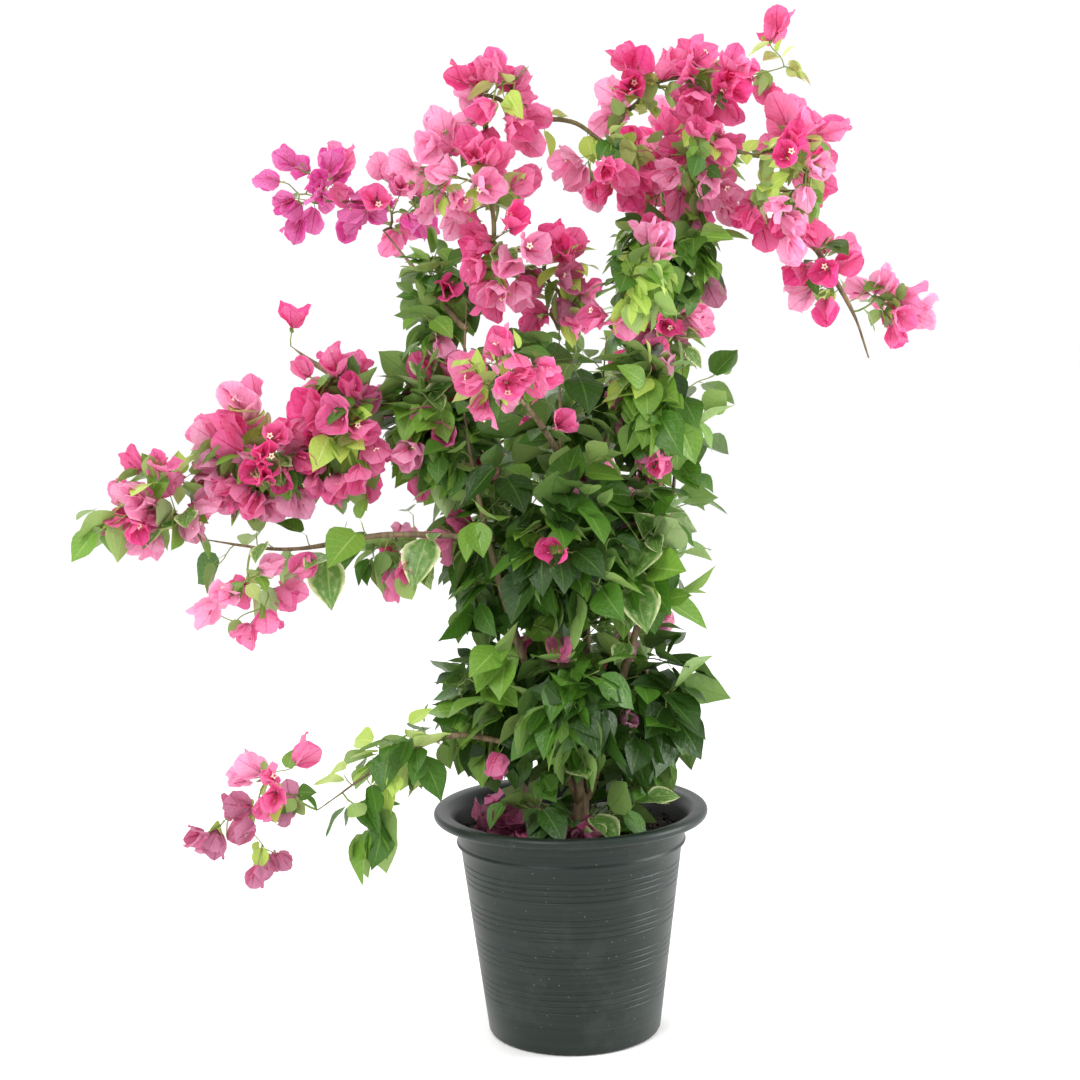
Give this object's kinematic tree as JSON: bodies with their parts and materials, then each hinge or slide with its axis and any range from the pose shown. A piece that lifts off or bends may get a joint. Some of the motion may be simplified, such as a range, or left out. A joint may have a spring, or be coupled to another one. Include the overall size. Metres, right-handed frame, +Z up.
{
  "type": "potted bougainvillea bush",
  "caption": "Bougainvillea bush with upright canes, arching arms of pink bracts and a dense leafy column, in a round tapered dark plastic nursery pot.",
  "frame": {"origin": "centre of the pot's flat underside, on the ground", "axes": "+Z up, -Y the front that faces the viewer, +X to the right, along the drooping spray"},
  "size_m": [0.9192, 0.5004, 1.0969],
  "materials": {
    "pot_plastic": "satin",
    "potting_soil": "rough",
    "bark": "rough",
    "leaf": "satin",
    "bract": "matte"
  },
  "bodies": {
    "root": {"pot": "pot_plastic", "soil": "potting_soil", "trunk": "bark", "stem_right": "bark", "stem_left": "bark", "stem_back": "bark", "stem_middle": "bark", "bough_low_left": "bark", "bough_mid_left": "bark", "bough_upper_left": "bark", "bough_lone_flower": "bark", "bough_front": "bark", "bough_drooping_right": "bark", "bough_back_left": "bark", "bough_back_right": "bark", "leaves_low_right": "leaf", "leaves_low_left": "leaf", "leaves_low_front": "leaf", "leaves_low_back": "leaf", "leaves_mid_right": "leaf", "leaves_mid_left": "leaf", "leaves_mid_front": "leaf", "leaves_mid_back": "leaf", "leaves_high_right": "leaf", "leaves_high_left": "leaf", "leaves_high_back": "leaf", "bloom_front": "bract", "leaves_arm_low": "leaf", "leaves_arm_low_hanging": "leaf", "bloom_arm_low": "bract", "bloom_arm_low_tip": "bract", "bloom_arm_low_hanging": "bract", "leaves_arm_mid_root": "leaf", "bloom_arm_mid_inner": "bract", "bloom_arm_mid": "bract", "bloom_arm_mid_outer": "bract", "leaves_arm_mid_tip": "leaf", "bloom_arm_mid_hanging": "bract", "bloom_lone": "bract", "bloom_arm_high_outer": "bract", "bloom_arm_high_inner": "bract", "leaves_left_top": "leaf", "bloom_top": "bract", "bloom_top_mid": "bract", "bloom_top_low": "bract", "bloom_top_side": "bract", "bloom_gap": "bract", "leaves_dome_under": "leaf", "bloom_dome_front": "bract", "bloom_dome_left": "bract", "bloom_dome_ridge": "bract", "bloom_dome_crest": "bract", "bloom_dome_mid": "bract", "bloom_dome_right": "bract", "bloom_dome_tip": "bract", "bloom_dome_back": "bract", "bloom_droop": "bract", "bloom_droop_outer": "bract", "bloom_back_left": "bract", "bloom_back_right": "bract"}
  },
  "joints": []
}
